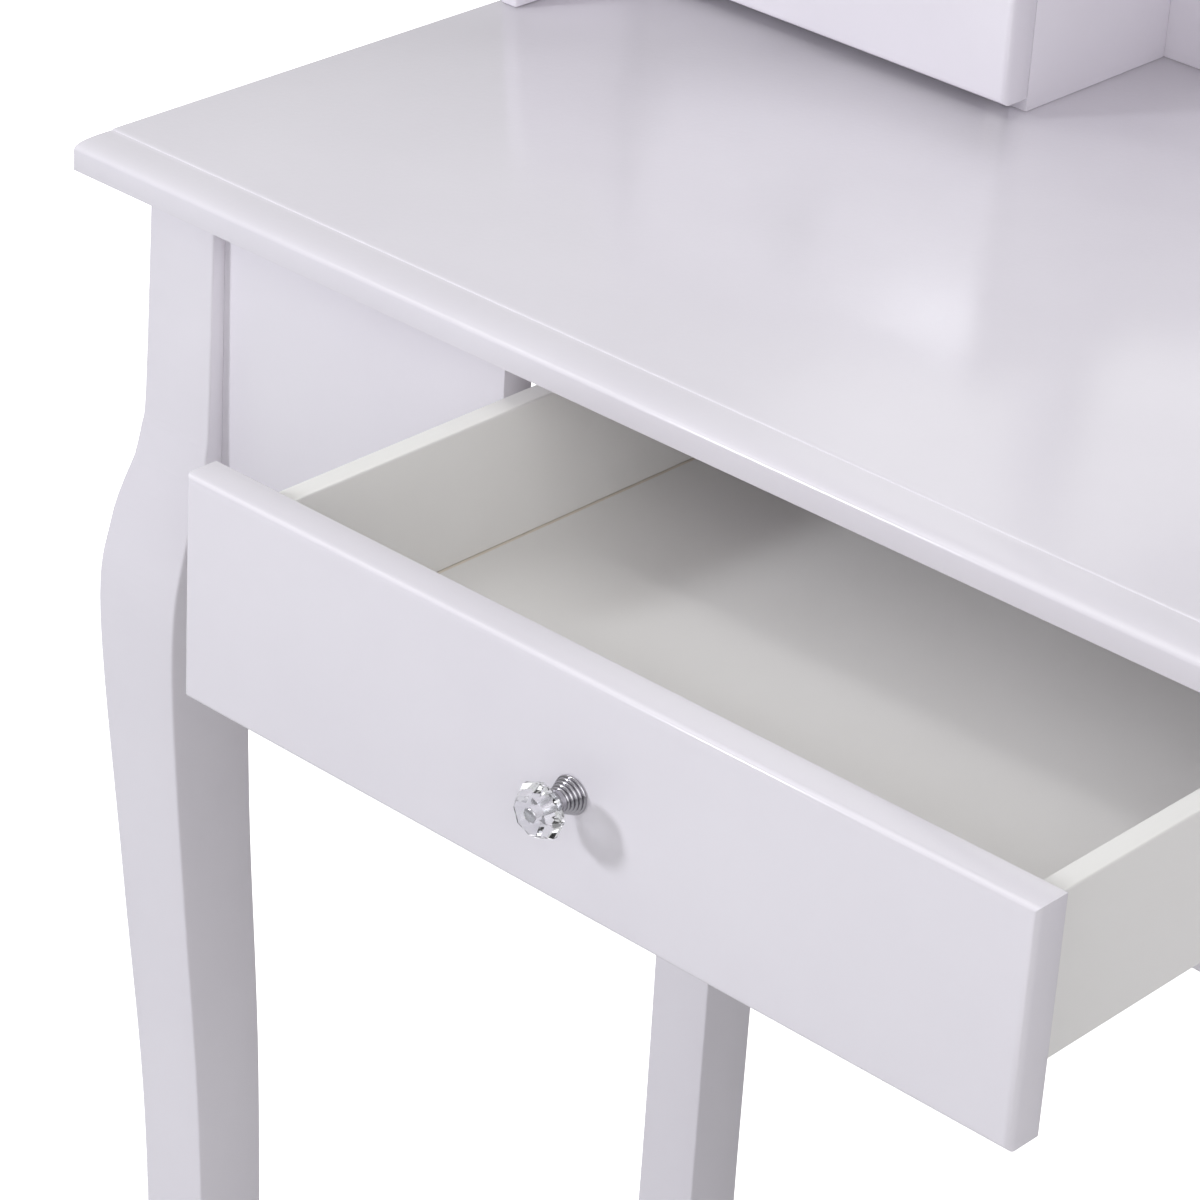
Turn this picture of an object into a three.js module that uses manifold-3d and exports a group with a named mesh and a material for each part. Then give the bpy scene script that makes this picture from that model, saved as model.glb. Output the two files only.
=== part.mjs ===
// Vanity table: cabriole legs, one wide centre drawer, a low hutch with two
// small drawers, and an oval mirror that tilts between two posts.
// Millimetres, X to the right, Y to the back, Z up.
import * as THREE from 'three';
import { mergeVertices } from 'three/addons/utils/BufferGeometryUtils.js';
import Module from 'manifold-3d';

// ---- overall sizes ----
const TABLE_WIDTH = 800;
const TABLE_DEPTH = 415;
const TABLE_HEIGHT = 760;

// ---- table top ----
const TOP_THICK = 12;
const TOP_ROUND_RUN = 20;
const TOP_BEAD_STEP = 0.5;
const TOP_BEAD_WIDTH = 3.6;
const TOP_LIP_HEIGHT = 8.2;

// ---- legs ----
const LEG_BLOCK = 36;
const LEG_SIDE_INSET = 27;
const LEG_FRONT_INSET = 16;
const LEG_REAR_INSET = 28;
const KNEE_BULGE = 14;
const CUSP_BELOW_APRON = 3;
const KNEE_BELOW_CUSP = 75;
const FOOT_WIDTH = 36;
const GLIDE_THICK = 4;
const GLIDE_INSET = 4;

// ---- boards ----
const APRON_THICK = 15;
const APRON_HEIGHT = 116;
const APRON_RECESS = 5.8;
const THIN_BOARD = 9;
const BACK_BOARD = 6;
const BASE_BOARD = 3;

// ---- centre drawer ----
const OPENING_WIDTH = 373;
const FRONT_THICK = 15;
const FRONT_HEIGHT = 88;
const FRONT_SIDE_GAP = 1.5;
const FRONT_TOP_GAP = 2.5;
const FRONT_PROUD = 1;
const FRONT_ROUND = 3;
const WALL_INSET = 12.7;
const WALL_DROP = 12.6;
const WALL_LIFT = 13.4;
const DRAWER_REAR_GAP = 12;
const DRAWER_PULL = 158.5;
const GROOVE_DEPTH = 4;
const GROOVE_HEIGHT = 4.5;

// ---- drawer runners ----
const GUIDE_GAP = 2.5;
const GUIDE_OVERLAP = 12;
const GUIDE_RISE = 40;
const LEDGE_THICK = 12;
const LEDGE_WIDTH = 18;

// ---- knobs ----
const CRYSTAL_DIAMETER = 20.5;
const CRYSTAL_LENGTH = 11;
const KNOB_BASE_DIAMETER = 14;
const KNOB_BASE_LENGTH = 9;
const KNOB_SCREW_DIAMETER = 5;

// ---- hutch ----
const POD_WIDTH = 222;
const POD_HEIGHT = 100;
const POD_DEPTH = 115;
const POD_CAP_THICK = 12;
const POD_CAP_OVERHANG = 6;
const POD_FRONT_LIFT = 6;
const POD_WALL_DROP = 29.5;
const WING_INSET = 2;
const WING_TOE_REACH = 64;
const WING_TOE_HEIGHT = 14;

// ---- mirror ----
const MIRROR_HEIGHT = 470;
const MIRROR_LIFT = 60;
const MIRROR_RIM = 28;
const MIRROR_FRAME_DEPTH = 18;
const MIRROR_GLASS_THICK = 4;
const MIRROR_SIDE_GAP = 9;
const POST_THICK = 20;
const POST_DEPTH = 34;
const POST_HEAD = 24;
const POST_BACK_INSET = 30;
const POST_SIDE_INSET = 1;
const PIVOT_DIAMETER = 8;
const PIVOT_KNOB_DIAMETER = 24;
const PIVOT_KNOB_LENGTH = 14;

// ---- clearances ----
const FIT = 0.3;
const SLIDE_FIT = 0.5;
const SIDE_PLAY = 2;

// ---- derived levels, measured from the front edge of the top and the floor ----
const UNDERSIDE = TABLE_HEIGHT - TOP_THICK;
const CUSP_DROP = TOP_THICK + APRON_HEIGHT + CUSP_BELOW_APRON;
const KNEE_DROP = CUSP_DROP + KNEE_BELOW_CUSP;
const APRON_FACE = LEG_FRONT_INSET + APRON_RECESS;
const APRON_BACK_FACE = TABLE_DEPTH - LEG_REAR_INSET - APRON_RECESS;
const LEG_SPAN = TABLE_WIDTH / 2 - LEG_SIDE_INSET - LEG_BLOCK;
const APRON_FLOOR = UNDERSIDE - APRON_HEIGHT;
const FRONT_WIDTH = OPENING_WIDTH - 2 * FRONT_SIDE_GAP;
const FRONT_TOP = UNDERSIDE - FRONT_TOP_GAP;
const FRONT_BOTTOM = FRONT_TOP - FRONT_HEIGHT;
const WALL_OUTER = FRONT_WIDTH / 2 - WALL_INSET;
const WALL_TOP = FRONT_TOP - WALL_DROP;
const WALL_BOTTOM = FRONT_BOTTOM + WALL_LIFT;
const FRONT_FACE = APRON_FACE - FRONT_PROUD;
const DRAWER_BOX_START = FRONT_FACE + FRONT_THICK;
const DRAWER_BOX_END = APRON_BACK_FACE - APRON_THICK - DRAWER_REAR_GAP;
const KNOB_REACH = KNOB_BASE_LENGTH + CRYSTAL_LENGTH;
const REST_FRONT = FRONT_FACE - DRAWER_PULL - KNOB_REACH;
const CENTRE_Y = (REST_FRONT + TABLE_DEPTH) / 2;
const POD_FRONT_FACE = TABLE_DEPTH - POD_DEPTH;
const POD_INNER = TABLE_WIDTH / 2 - POD_WIDTH;
const POD_CAP_BOTTOM = TABLE_HEIGHT + POD_HEIGHT - POD_CAP_THICK;
const POD_CAP_TOP = TABLE_HEIGHT + POD_HEIGHT;
const WING_OUTER = TABLE_WIDTH / 2 - WING_INSET;
const MIRROR_AXIS_Z = POD_CAP_TOP + MIRROR_LIFT + MIRROR_HEIGHT / 2;
const POST_INNER = POD_INNER + POST_SIDE_INSET;
const MIRROR_WIDTH = 2 * (POST_INNER - MIRROR_SIDE_GAP);
const POST_Y = TABLE_DEPTH - POST_BACK_INSET;

// ---- finishes ----
const PAINT = { color: 0xe9e8ee, roughness: 0.28, metalness: 0 };
const DRAWER_PAINT = { color: 0xeae8e4, roughness: 0.45, metalness: 0 };
const RAW_BOARD = { color: 0xb59a78, roughness: 0.8, metalness: 0 };
const CHROME = { color: 0xc9cbd0, roughness: 0.12, metalness: 1 };
const CRYSTAL = { color: 0xeef3f6, roughness: 0.03, metalness: 0 };
const MIRROR = { color: 0xdde3e6, roughness: 0.02, metalness: 1 };
const GLIDE = { color: 0x6e6e70, roughness: 0.7, metalness: 0 };

const wasm = await Module();
wasm.setup();

const root = new THREE.Group();
root.name = 'vanity_table';
root.position.y = -CENTRE_Y;

function group(name, parent) {
  const made = new THREE.Group();
  made.name = name;
  parent.add(made);
  return made;
}

function piece(parent, name, geometry, finish) {
  const mesh = new THREE.Mesh(geometry, new THREE.MeshStandardMaterial(finish));
  mesh.name = name;
  parent.add(mesh);
  return mesh;
}

// A flat board between two corners.
function board(parent, name, finish, [x0, x1], [y0, y1], [z0, z1]) {
  const mesh = piece(parent, name, new THREE.BoxGeometry(x1 - x0, y1 - y0, z1 - z0), finish);
  mesh.position.set((x0 + x1) / 2, (y0 + y1) / 2, (z0 + z1) / 2);
  return mesh;
}

function extruded(shape, length, segments, ...axes) {
  const settings = { depth: length, bevelEnabled: false, curveSegments: segments };
  const geometry = new THREE.ExtrudeGeometry(shape, settings);
  return geometry.applyMatrix4(new THREE.Matrix4().makeBasis(...axes));
}

const AXIS_X = new THREE.Vector3(1, 0, 0);
const AXIS_Y = new THREE.Vector3(0, 1, 0);
const AXIS_Z = new THREE.Vector3(0, 0, 1);
const AXIS_FRONT = new THREE.Vector3(0, -1, 0);

// A (y, z) outline drawn out along X from x = from.
function alongX(shape, from, to, segments = 8) {
  return extruded(shape, to - from, segments, AXIS_Y, AXIS_Z, AXIS_X).translate(from, 0, 0);
}

// An (x, z) outline drawn out along Y from y = from.
function alongY(shape, from, to, segments = 8) {
  return extruded(shape, to - from, segments, AXIS_X, AXIS_Z, AXIS_FRONT).translate(0, to, 0);
}

function outline(points) {
  return new THREE.Shape(points.map(([a, b]) => new THREE.Vector2(a, b)));
}

function solid(geometry) {
  const bare = new THREE.BufferGeometry();
  bare.setAttribute('position', geometry.getAttribute('position').clone());
  if (geometry.index) bare.setIndex(geometry.index.clone());
  const merged = mergeVertices(bare, 1e-4);
  return new wasm.Manifold(new wasm.Mesh({
    numProp: 3,
    vertProperties: new Float32Array(merged.attributes.position.array),
    triVerts: new Uint32Array(merged.index.array),
  }));
}

function fromSolid(body) {
  const { vertProperties, triVerts } = body.getMesh();
  const geometry = new THREE.BufferGeometry();
  geometry.setAttribute('position', new THREE.BufferAttribute(new Float32Array(vertProperties), 3));
  geometry.setIndex(new THREE.BufferAttribute(new Uint32Array(triVerts), 1));
  geometry.computeVertexNormals();
  return geometry;
}

const table = group('table', root);

// ---- table top: flat, a fine bead, a shallow ledge that rounds over, and a square lip ----
function topOutline() {
  const shape = new THREE.Shape();
  const beadBack = TOP_ROUND_RUN + TOP_BEAD_WIDTH;
  const roundTop = TABLE_HEIGHT - TOP_BEAD_STEP;
  const lipTop = UNDERSIDE + TOP_LIP_HEIGHT;
  shape.moveTo(0, UNDERSIDE);
  shape.lineTo(TABLE_DEPTH, UNDERSIDE);
  shape.lineTo(TABLE_DEPTH, TABLE_HEIGHT);
  shape.lineTo(beadBack, TABLE_HEIGHT);
  shape.quadraticCurveTo(TOP_ROUND_RUN, TABLE_HEIGHT, TOP_ROUND_RUN, roundTop);
  const shoulder = lipTop + 0.7 * (roundTop - lipTop);
  shape.bezierCurveTo(0.15 * TOP_ROUND_RUN, TABLE_HEIGHT, 0, shoulder, 0, lipTop);
  return shape;
}
piece(table, 'table_top', alongX(topOutline(), -TABLE_WIDTH / 2, TABLE_WIDTH / 2, 12), PAINT);

// ---- cabriole legs: the same curve sawn on two faces of a square block ----
// Each station is [drop below the top, bulge or setback of the face].
function faceCurve(start, stations, steps) {
  const points = [start, ...stations].map(([drop, out]) => new THREE.Vector2(out, -drop));
  return new THREE.SplineCurve(points).getPoints(steps);
}

function legOutline(corner, toward) {
  const legLength = TABLE_HEIGHT - GLIDE_THICK;
  const belowKnee = legLength - KNEE_DROP;
  const cusp = [CUSP_DROP, -0.31 * KNEE_BULGE];
  const shoulder = faceCurve([TOP_THICK, 0], [
    [TOP_THICK + 0.74 * (CUSP_DROP - TOP_THICK), -0.09 * KNEE_BULGE],
    [TOP_THICK + 0.89 * (CUSP_DROP - TOP_THICK), -0.18 * KNEE_BULGE],
    cusp,
  ], 12);
  const knee = faceCurve(cusp, [
    [CUSP_DROP + 0.4 * (KNEE_DROP - CUSP_DROP), -0.79 * KNEE_BULGE],
    [KNEE_DROP, -KNEE_BULGE],
    [KNEE_DROP + 0.23 * belowKnee, -0.5 * KNEE_BULGE],
    [KNEE_DROP + 0.46 * belowKnee, 0],
    [KNEE_DROP + 0.75 * belowKnee, 0.17 * KNEE_BULGE],
    [legLength, 0],
  ], 36);
  const blockTop = new THREE.Vector2(LEG_BLOCK, -TOP_THICK);
  const inner = faceCurve([CUSP_DROP, LEG_BLOCK], [
    [KNEE_DROP, LEG_BLOCK - 0.42 * KNEE_BULGE],
    [KNEE_DROP + 0.16 * belowKnee, LEG_BLOCK - 0.38 * KNEE_BULGE],
    [KNEE_DROP + 0.4 * belowKnee, LEG_BLOCK - 0.07 * KNEE_BULGE],
    [KNEE_DROP + 0.7 * belowKnee, LEG_BLOCK + 0.07 * KNEE_BULGE],
    [legLength, FOOT_WIDTH],
  ], 36);
  const walk = [...shoulder, ...knee.slice(1), ...inner.reverse(), blockTop];
  return outline(walk.map((p) => [corner + toward * p.x, TABLE_HEIGHT + p.y]));
}

const LEG_CORNERS = [
  ['front_left', -1, 1],
  ['front_right', 1, 1],
  ['rear_left', -1, -1],
  ['rear_right', 1, -1],
];
for (const [where, side, inward] of LEG_CORNERS) {
  const cornerX = side * (TABLE_WIDTH / 2 - LEG_SIDE_INSET);
  const cornerY = inward > 0 ? LEG_FRONT_INSET : TABLE_DEPTH - LEG_REAR_INSET;
  const reach = KNEE_BULGE + LEG_BLOCK;
  const spanX = [cornerX - reach, cornerX + reach];
  const spanY = [cornerY - reach, cornerY + reach];
  const sawnFront = solid(alongY(legOutline(cornerX, -side), ...spanY));
  const sawnSide = solid(alongX(legOutline(cornerY, inward), ...spanX));
  piece(table, `leg_${where}`, fromSolid(sawnFront.intersect(sawnSide)), PAINT);

  const glide = FOOT_WIDTH - 2 * GLIDE_INSET;
  const glideX = cornerX - side * FOOT_WIDTH / 2;
  const glideY = cornerY + inward * FOOT_WIDTH / 2;
  board(table, `foot_glide_${where}`, GLIDE, [glideX - glide / 2, glideX + glide / 2],
    [glideY - glide / 2, glideY + glide / 2], [0, GLIDE_THICK]);
}

// ---- apron: two front panels beside the drawer, a rail under it, sides and back ----
const apronHeights = [APRON_FLOOR, UNDERSIDE];
const frontPlane = [APRON_FACE, APRON_FACE + APRON_THICK];
const legRearFace = LEG_FRONT_INSET + LEG_BLOCK;
const rearLegFrontFace = TABLE_DEPTH - LEG_REAR_INSET - LEG_BLOCK;
const sideFace = TABLE_WIDTH / 2 - LEG_SIDE_INSET - APRON_RECESS;
for (const [hand, side] of [['left', -1], ['right', 1]]) {
  const panel = [side * LEG_SPAN, side * OPENING_WIDTH / 2].sort((a, b) => a - b);
  board(table, `apron_front_${hand}`, PAINT, panel, frontPlane, apronHeights);
  const flank = [side * sideFace, side * (sideFace - APRON_THICK)].sort((a, b) => a - b);
  board(table, `apron_side_${hand}`, PAINT, flank, [legRearFace, rearLegFrontFace], apronHeights);
}
board(table, 'drawer_rail', PAINT, [-OPENING_WIDTH / 2, OPENING_WIDTH / 2], frontPlane,
  [APRON_FLOOR, FRONT_BOTTOM - FRONT_TOP_GAP]);
board(table, 'apron_back', PAINT, [-LEG_SPAN, LEG_SPAN],
  [APRON_BACK_FACE - APRON_THICK, APRON_BACK_FACE], apronHeights);

// ---- runners: an L-shaped strip each side that carries and steers the drawer ----
for (const [hand, side] of [['left', -1], ['right', 1]]) {
  const guideInner = WALL_OUTER + GUIDE_GAP;
  const guideOuter = OPENING_WIDTH / 2 + GUIDE_OVERLAP;
  const ledgeTop = WALL_BOTTOM - SLIDE_FIT;
  const runner = outline([
    [guideInner - LEDGE_WIDTH, ledgeTop - LEDGE_THICK],
    [guideOuter, ledgeTop - LEDGE_THICK],
    [guideOuter, ledgeTop + GUIDE_RISE],
    [guideInner, ledgeTop + GUIDE_RISE],
    [guideInner, ledgeTop],
    [guideInner - LEDGE_WIDTH, ledgeTop],
  ].map(([x, z]) => [side * x, z]));
  piece(table, `drawer_runner_${hand}`,
    alongY(runner, APRON_FACE + APRON_THICK, APRON_BACK_FACE - APRON_THICK), RAW_BOARD);
}

// ---- crystal knob: stepped chrome foot, eight-sided crystal, screw end ----
function knob(parent, prefix, x, faceY, z) {
  const foot = KNOB_BASE_DIAMETER / 2;
  const neck = 0.55 * foot;
  const step = KNOB_BASE_LENGTH / 5;
  const footProfile = [
    [0, 0], [foot, 0], [foot, step], [0.86 * foot, step], [0.86 * foot, 2 * step],
    [0.7 * foot, 2 * step], [0.7 * foot, 3 * step], [neck, 3 * step], [neck, 4 * step],
    [0.75 * foot, 4 * step], [0.75 * foot, KNOB_BASE_LENGTH], [0, KNOB_BASE_LENGTH],
  ];
  const wide = CRYSTAL_DIAMETER / 2;
  const screw = KNOB_SCREW_DIAMETER / 2;
  const seatDepth = 0.15 * CRYSTAL_LENGTH;
  const crystalProfile = [
    [0, 0], [0.6 * wide, 0], [wide, 0.38 * CRYSTAL_LENGTH], [wide, 0.55 * CRYSTAL_LENGTH],
    [0.62 * wide, CRYSTAL_LENGTH - FIT], [screw + FIT, CRYSTAL_LENGTH - FIT],
    [screw + FIT, CRYSTAL_LENGTH - seatDepth], [0, CRYSTAL_LENGTH - seatDepth],
  ];
  const screwProfile = [
    [0, CRYSTAL_LENGTH - seatDepth], [screw, CRYSTAL_LENGTH - seatDepth],
    [screw, CRYSTAL_LENGTH], [0, CRYSTAL_LENGTH],
  ];
  const parts = [
    ['knob_foot', footProfile, 24, CHROME, 0],
    ['knob_crystal', crystalProfile, 8, CRYSTAL, KNOB_BASE_LENGTH],
    ['knob_screw', screwProfile, 16, CHROME, KNOB_BASE_LENGTH],
  ];
  for (const [name, profile, sides, finish, out] of parts) {
    const points = profile.map(([r, h]) => new THREE.Vector2(r, h));
    const mesh = piece(parent, `${prefix}_${name}`, new THREE.LatheGeometry(points, sides), finish);
    mesh.rotation.z = Math.PI;
    mesh.position.set(x, faceY - out, z);
  }
}

// ---- a drawer: thick front, two grooved sides, a back, and a thin base in the grooves ----
function frontOutline(x0, x1, z0, z1) {
  const r = FRONT_ROUND;
  const shape = new THREE.Shape();
  shape.moveTo(x0 + r, z0 + r);
  shape.lineTo(x1 - r, z0 + r);
  shape.lineTo(x1 - r, z1 - r);
  shape.lineTo(x0 + r, z1 - r);
  return shape;
}

// The front is square at the back and rounded all round its face.
function drawerFront(x0, x1, faceY, z0, z1) {
  const geometry = new THREE.ExtrudeGeometry(frontOutline(x0, x1, z0, z1), {
    depth: FRONT_THICK - 2 * FRONT_ROUND,
    bevelThickness: FRONT_ROUND,
    bevelSize: FRONT_ROUND,
    bevelSegments: 4,
  });
  geometry.applyMatrix4(new THREE.Matrix4().makeBasis(AXIS_X, AXIS_Z, AXIS_FRONT));
  return geometry.translate(0, faceY + FRONT_THICK - FRONT_ROUND, 0);
}

function drawerBox(parent, prefix, [x0, x1], [y0, y1], [z0, z1], grooveLift) {
  const grooveFloor = z0 + grooveLift;
  const grooveRoof = grooveFloor + BASE_BOARD + 2 * FIT;
  for (const [hand, outer, inward] of [['left', x0, 1], ['right', x1, -1]]) {
    const inner = outer + inward * THIN_BOARD;
    const cut = inner - inward * GROOVE_DEPTH;
    const side = outline([
      [outer, z0], [inner, z0], [inner, grooveFloor], [cut, grooveFloor],
      [cut, grooveRoof], [inner, grooveRoof], [inner, z1], [outer, z1],
    ]);
    piece(parent, `${prefix}_side_${hand}`, alongY(side, y0, y1), DRAWER_PAINT);
  }
  board(parent, `${prefix}_back`, DRAWER_PAINT, [x0 + THIN_BOARD, x1 - THIN_BOARD],
    [y1 - THIN_BOARD, y1], [grooveRoof, z1]);
  const baseReach = THIN_BOARD - GROOVE_DEPTH + FIT;
  board(parent, `${prefix}_base`, DRAWER_PAINT, [x0 + baseReach, x1 - baseReach],
    [y0, y1], [grooveFloor + FIT, grooveFloor + FIT + BASE_BOARD]);
}

// ---- centre drawer, drawn out ----
const centreDrawer = group('centre_drawer', root);
centreDrawer.position.y = -DRAWER_PULL;
piece(centreDrawer, 'centre_drawer_front',
  drawerFront(-FRONT_WIDTH / 2, FRONT_WIDTH / 2, FRONT_FACE, FRONT_BOTTOM, FRONT_TOP), PAINT);
drawerBox(centreDrawer, 'centre_drawer', [-WALL_OUTER, WALL_OUTER],
  [DRAWER_BOX_START, DRAWER_BOX_END], [WALL_BOTTOM, WALL_TOP], GROOVE_HEIGHT);
knob(centreDrawer, 'centre', 0, FRONT_FACE, (FRONT_TOP + FRONT_BOTTOM) / 2);

// ---- hutch: a wing, an inner side and a cap each side, one back across ----
function wingOutline() {
  const toeY = POD_FRONT_FACE - WING_TOE_REACH;
  const toeTop = TABLE_HEIGHT + WING_TOE_HEIGHT;
  const backY = TABLE_DEPTH - BACK_BOARD;
  const rise = POD_CAP_BOTTOM - toeTop;
  const shape = new THREE.Shape();
  shape.moveTo(toeY, TABLE_HEIGHT);
  shape.lineTo(backY, TABLE_HEIGHT);
  shape.lineTo(backY, POD_CAP_BOTTOM);
  shape.lineTo(POD_FRONT_FACE, POD_CAP_BOTTOM);
  shape.bezierCurveTo(POD_FRONT_FACE - 0.1 * WING_TOE_REACH, toeTop + 0.55 * rise,
    POD_FRONT_FACE - 0.35 * WING_TOE_REACH, toeTop + 0.3 * rise,
    POD_FRONT_FACE - 0.6 * WING_TOE_REACH, toeTop + 0.32 * rise);
  shape.bezierCurveTo(toeY + 0.15 * WING_TOE_REACH, toeTop + 0.34 * rise,
    toeY, toeTop + 0.15 * rise, toeY, toeTop);
  return shape;
}

const backPlane = [TABLE_DEPTH - BACK_BOARD, TABLE_DEPTH];
board(table, 'hutch_back', PAINT, [-WING_OUTER, WING_OUTER], backPlane, [TABLE_HEIGHT, POD_CAP_BOTTOM]);
for (const [hand, side] of [['left', -1], ['right', 1]]) {
  const wing = [side * WING_OUTER, side * (WING_OUTER - THIN_BOARD)].sort((a, b) => a - b);
  piece(table, `hutch_wing_${hand}`, alongX(wingOutline(), ...wing), PAINT);
  const inner = [side * POD_INNER, side * (POD_INNER + THIN_BOARD)].sort((a, b) => a - b);
  board(table, `hutch_inner_side_${hand}`, PAINT, inner,
    [POD_FRONT_FACE + FRONT_THICK + FIT, backPlane[0]], [TABLE_HEIGHT, POD_CAP_BOTTOM]);
  const cap = [side * TABLE_WIDTH / 2, side * (POD_INNER - POD_CAP_OVERHANG)].sort((a, b) => a - b);
  board(table, `hutch_cap_${hand}`, PAINT, cap,
    [POD_FRONT_FACE - POD_CAP_OVERHANG, TABLE_DEPTH], [POD_CAP_BOTTOM, POD_CAP_TOP]);

  const drawer = group(`${hand}_drawer`, root);
  const frontX = [side * (WING_OUTER - THIN_BOARD - SIDE_PLAY), side * POD_INNER].sort((a, b) => a - b);
  const frontZ = [TABLE_HEIGHT + POD_FRONT_LIFT, POD_CAP_BOTTOM - SIDE_PLAY];
  piece(drawer, `${hand}_drawer_front`, drawerFront(...frontX, POD_FRONT_FACE, ...frontZ), PAINT);
  const boxX = [side * (WING_OUTER - THIN_BOARD - SIDE_PLAY), side * (POD_INNER + THIN_BOARD + SIDE_PLAY)];
  drawerBox(drawer, `${hand}_drawer`, boxX.sort((a, b) => a - b),
    [POD_FRONT_FACE + FRONT_THICK, backPlane[0] - SIDE_PLAY],
    [TABLE_HEIGHT + SLIDE_FIT, POD_CAP_BOTTOM - POD_WALL_DROP], BASE_BOARD);
  knob(drawer, hand, (frontX[0] + frontX[1]) / 2, POD_FRONT_FACE, (frontZ[0] + frontZ[1]) / 2);
}

// ---- mirror posts: flat posts with a rounded head and a pivot hole ----
function postOutline() {
  const half = POST_DEPTH / 2;
  const head = POST_HEAD / 2;
  const shape = new THREE.Shape();
  shape.moveTo(POST_Y - half, POD_CAP_TOP);
  shape.lineTo(POST_Y + half, POD_CAP_TOP);
  shape.lineTo(POST_Y + half, POD_CAP_TOP + POST_DEPTH);
  shape.quadraticCurveTo(POST_Y + head, POD_CAP_TOP + 2 * POST_DEPTH, POST_Y + head, MIRROR_AXIS_Z);
  shape.absarc(POST_Y, MIRROR_AXIS_Z, head, 0, Math.PI, false);
  shape.quadraticCurveTo(POST_Y - head, POD_CAP_TOP + 2 * POST_DEPTH,
    POST_Y - half, POD_CAP_TOP + POST_DEPTH);
  const hole = new THREE.Path();
  hole.absarc(POST_Y, MIRROR_AXIS_Z, PIVOT_DIAMETER / 2 + FIT, 0, 2 * Math.PI, true);
  shape.holes.push(hole);
  return shape;
}

const mirror = group('mirror', root);
for (const [hand, side] of [['left', -1], ['right', 1]]) {
  const span = [side * POST_INNER, side * (POST_INNER + POST_THICK)].sort((a, b) => a - b);
  piece(table, `mirror_post_${hand}`, alongX(postOutline(), ...span, 16), PAINT);

  // The pivot bolt screws into the frame's edge and carries a turned knob outside.
  const pin = PIVOT_DIAMETER / 2;
  const grip = PIVOT_KNOB_DIAMETER / 2;
  const outside = MIRROR_SIDE_GAP + POST_THICK + FIT;
  const end = outside + PIVOT_KNOB_LENGTH;
  const profile = [
    [0, 0], [pin, 0], [pin, outside], [0.8 * grip, outside],
    [grip, outside + 0.3 * PIVOT_KNOB_LENGTH], [grip, outside + 0.7 * PIVOT_KNOB_LENGTH],
    [0.75 * grip, end], [0, end],
  ].map(([r, h]) => new THREE.Vector2(r, h));
  const bolt = piece(mirror, `mirror_pivot_${hand}`, new THREE.LatheGeometry(profile, 24), CHROME);
  bolt.rotation.z = -side * Math.PI / 2;
  bolt.position.set(side * MIRROR_WIDTH / 2, POST_Y, MIRROR_AXIS_Z);
}

// ---- oval mirror: frame with a rebate, glass, and a backing board ----
function ellipse(width, height) {
  const shape = new THREE.Shape();
  shape.absellipse(0, MIRROR_AXIS_Z, width / 2, height / 2, 0, 2 * Math.PI, false, 0);
  return shape;
}

function ovalPlate(width, height, y0, y1) {
  return alongY(ellipse(width, height), y0, y1, 48);
}

const frameFront = POST_Y - MIRROR_FRAME_DEPTH / 2;
const frameBack = POST_Y + MIRROR_FRAME_DEPTH / 2;
const sightWidth = MIRROR_WIDTH - 2 * MIRROR_RIM;
const sightHeight = MIRROR_HEIGHT - 2 * MIRROR_RIM;
const rebate = MIRROR_RIM / 4;
const rebateFront = frameFront + MIRROR_FRAME_DEPTH / 2;
const rebateWidth = sightWidth + 2 * rebate;
const rebateHeight = sightHeight + 2 * rebate;
const flat = MIRROR_RIM / 7;
const glassBack = rebateFront + MIRROR_GLASS_THICK;
const frameBody = solid(ovalPlate(MIRROR_WIDTH, MIRROR_HEIGHT, frameFront, frameBack))
  .subtract(solid(ovalPlate(sightWidth, sightHeight, frameFront - flat, frameBack + flat)))
  .subtract(solid(ovalPlate(rebateWidth, rebateHeight, rebateFront, frameBack + flat)));
piece(mirror, 'mirror_frame', fromSolid(frameBody), PAINT);
piece(mirror, 'mirror_glass',
  ovalPlate(rebateWidth - 2 * FIT, rebateHeight - 2 * FIT, rebateFront + FIT, glassBack), MIRROR);
piece(mirror, 'mirror_backing',
  ovalPlate(rebateWidth - 2 * FIT, rebateHeight - 2 * FIT, glassBack, frameBack), RAW_BOARD);

export default root;
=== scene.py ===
import math

import bmesh
import bpy
import numpy as np
from mathutils import Matrix, Vector
from mathutils.geometry import interpolate_bezier


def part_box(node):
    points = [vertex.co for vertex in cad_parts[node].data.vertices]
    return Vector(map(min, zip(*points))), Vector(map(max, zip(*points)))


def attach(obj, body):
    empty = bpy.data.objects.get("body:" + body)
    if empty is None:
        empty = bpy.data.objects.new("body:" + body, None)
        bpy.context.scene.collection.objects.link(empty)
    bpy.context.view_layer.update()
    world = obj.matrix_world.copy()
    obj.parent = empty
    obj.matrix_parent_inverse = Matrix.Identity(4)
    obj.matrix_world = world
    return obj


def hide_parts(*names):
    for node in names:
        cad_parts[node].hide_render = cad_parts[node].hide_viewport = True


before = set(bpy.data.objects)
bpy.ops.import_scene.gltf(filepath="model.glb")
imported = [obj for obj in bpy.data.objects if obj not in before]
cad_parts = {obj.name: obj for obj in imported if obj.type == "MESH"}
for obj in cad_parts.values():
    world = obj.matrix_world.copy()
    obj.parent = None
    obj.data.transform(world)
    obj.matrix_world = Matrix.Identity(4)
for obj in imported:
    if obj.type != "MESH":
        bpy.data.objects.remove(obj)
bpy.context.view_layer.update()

MM = 0.001
FRONTWARD = Vector((0, -1, 0))

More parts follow.
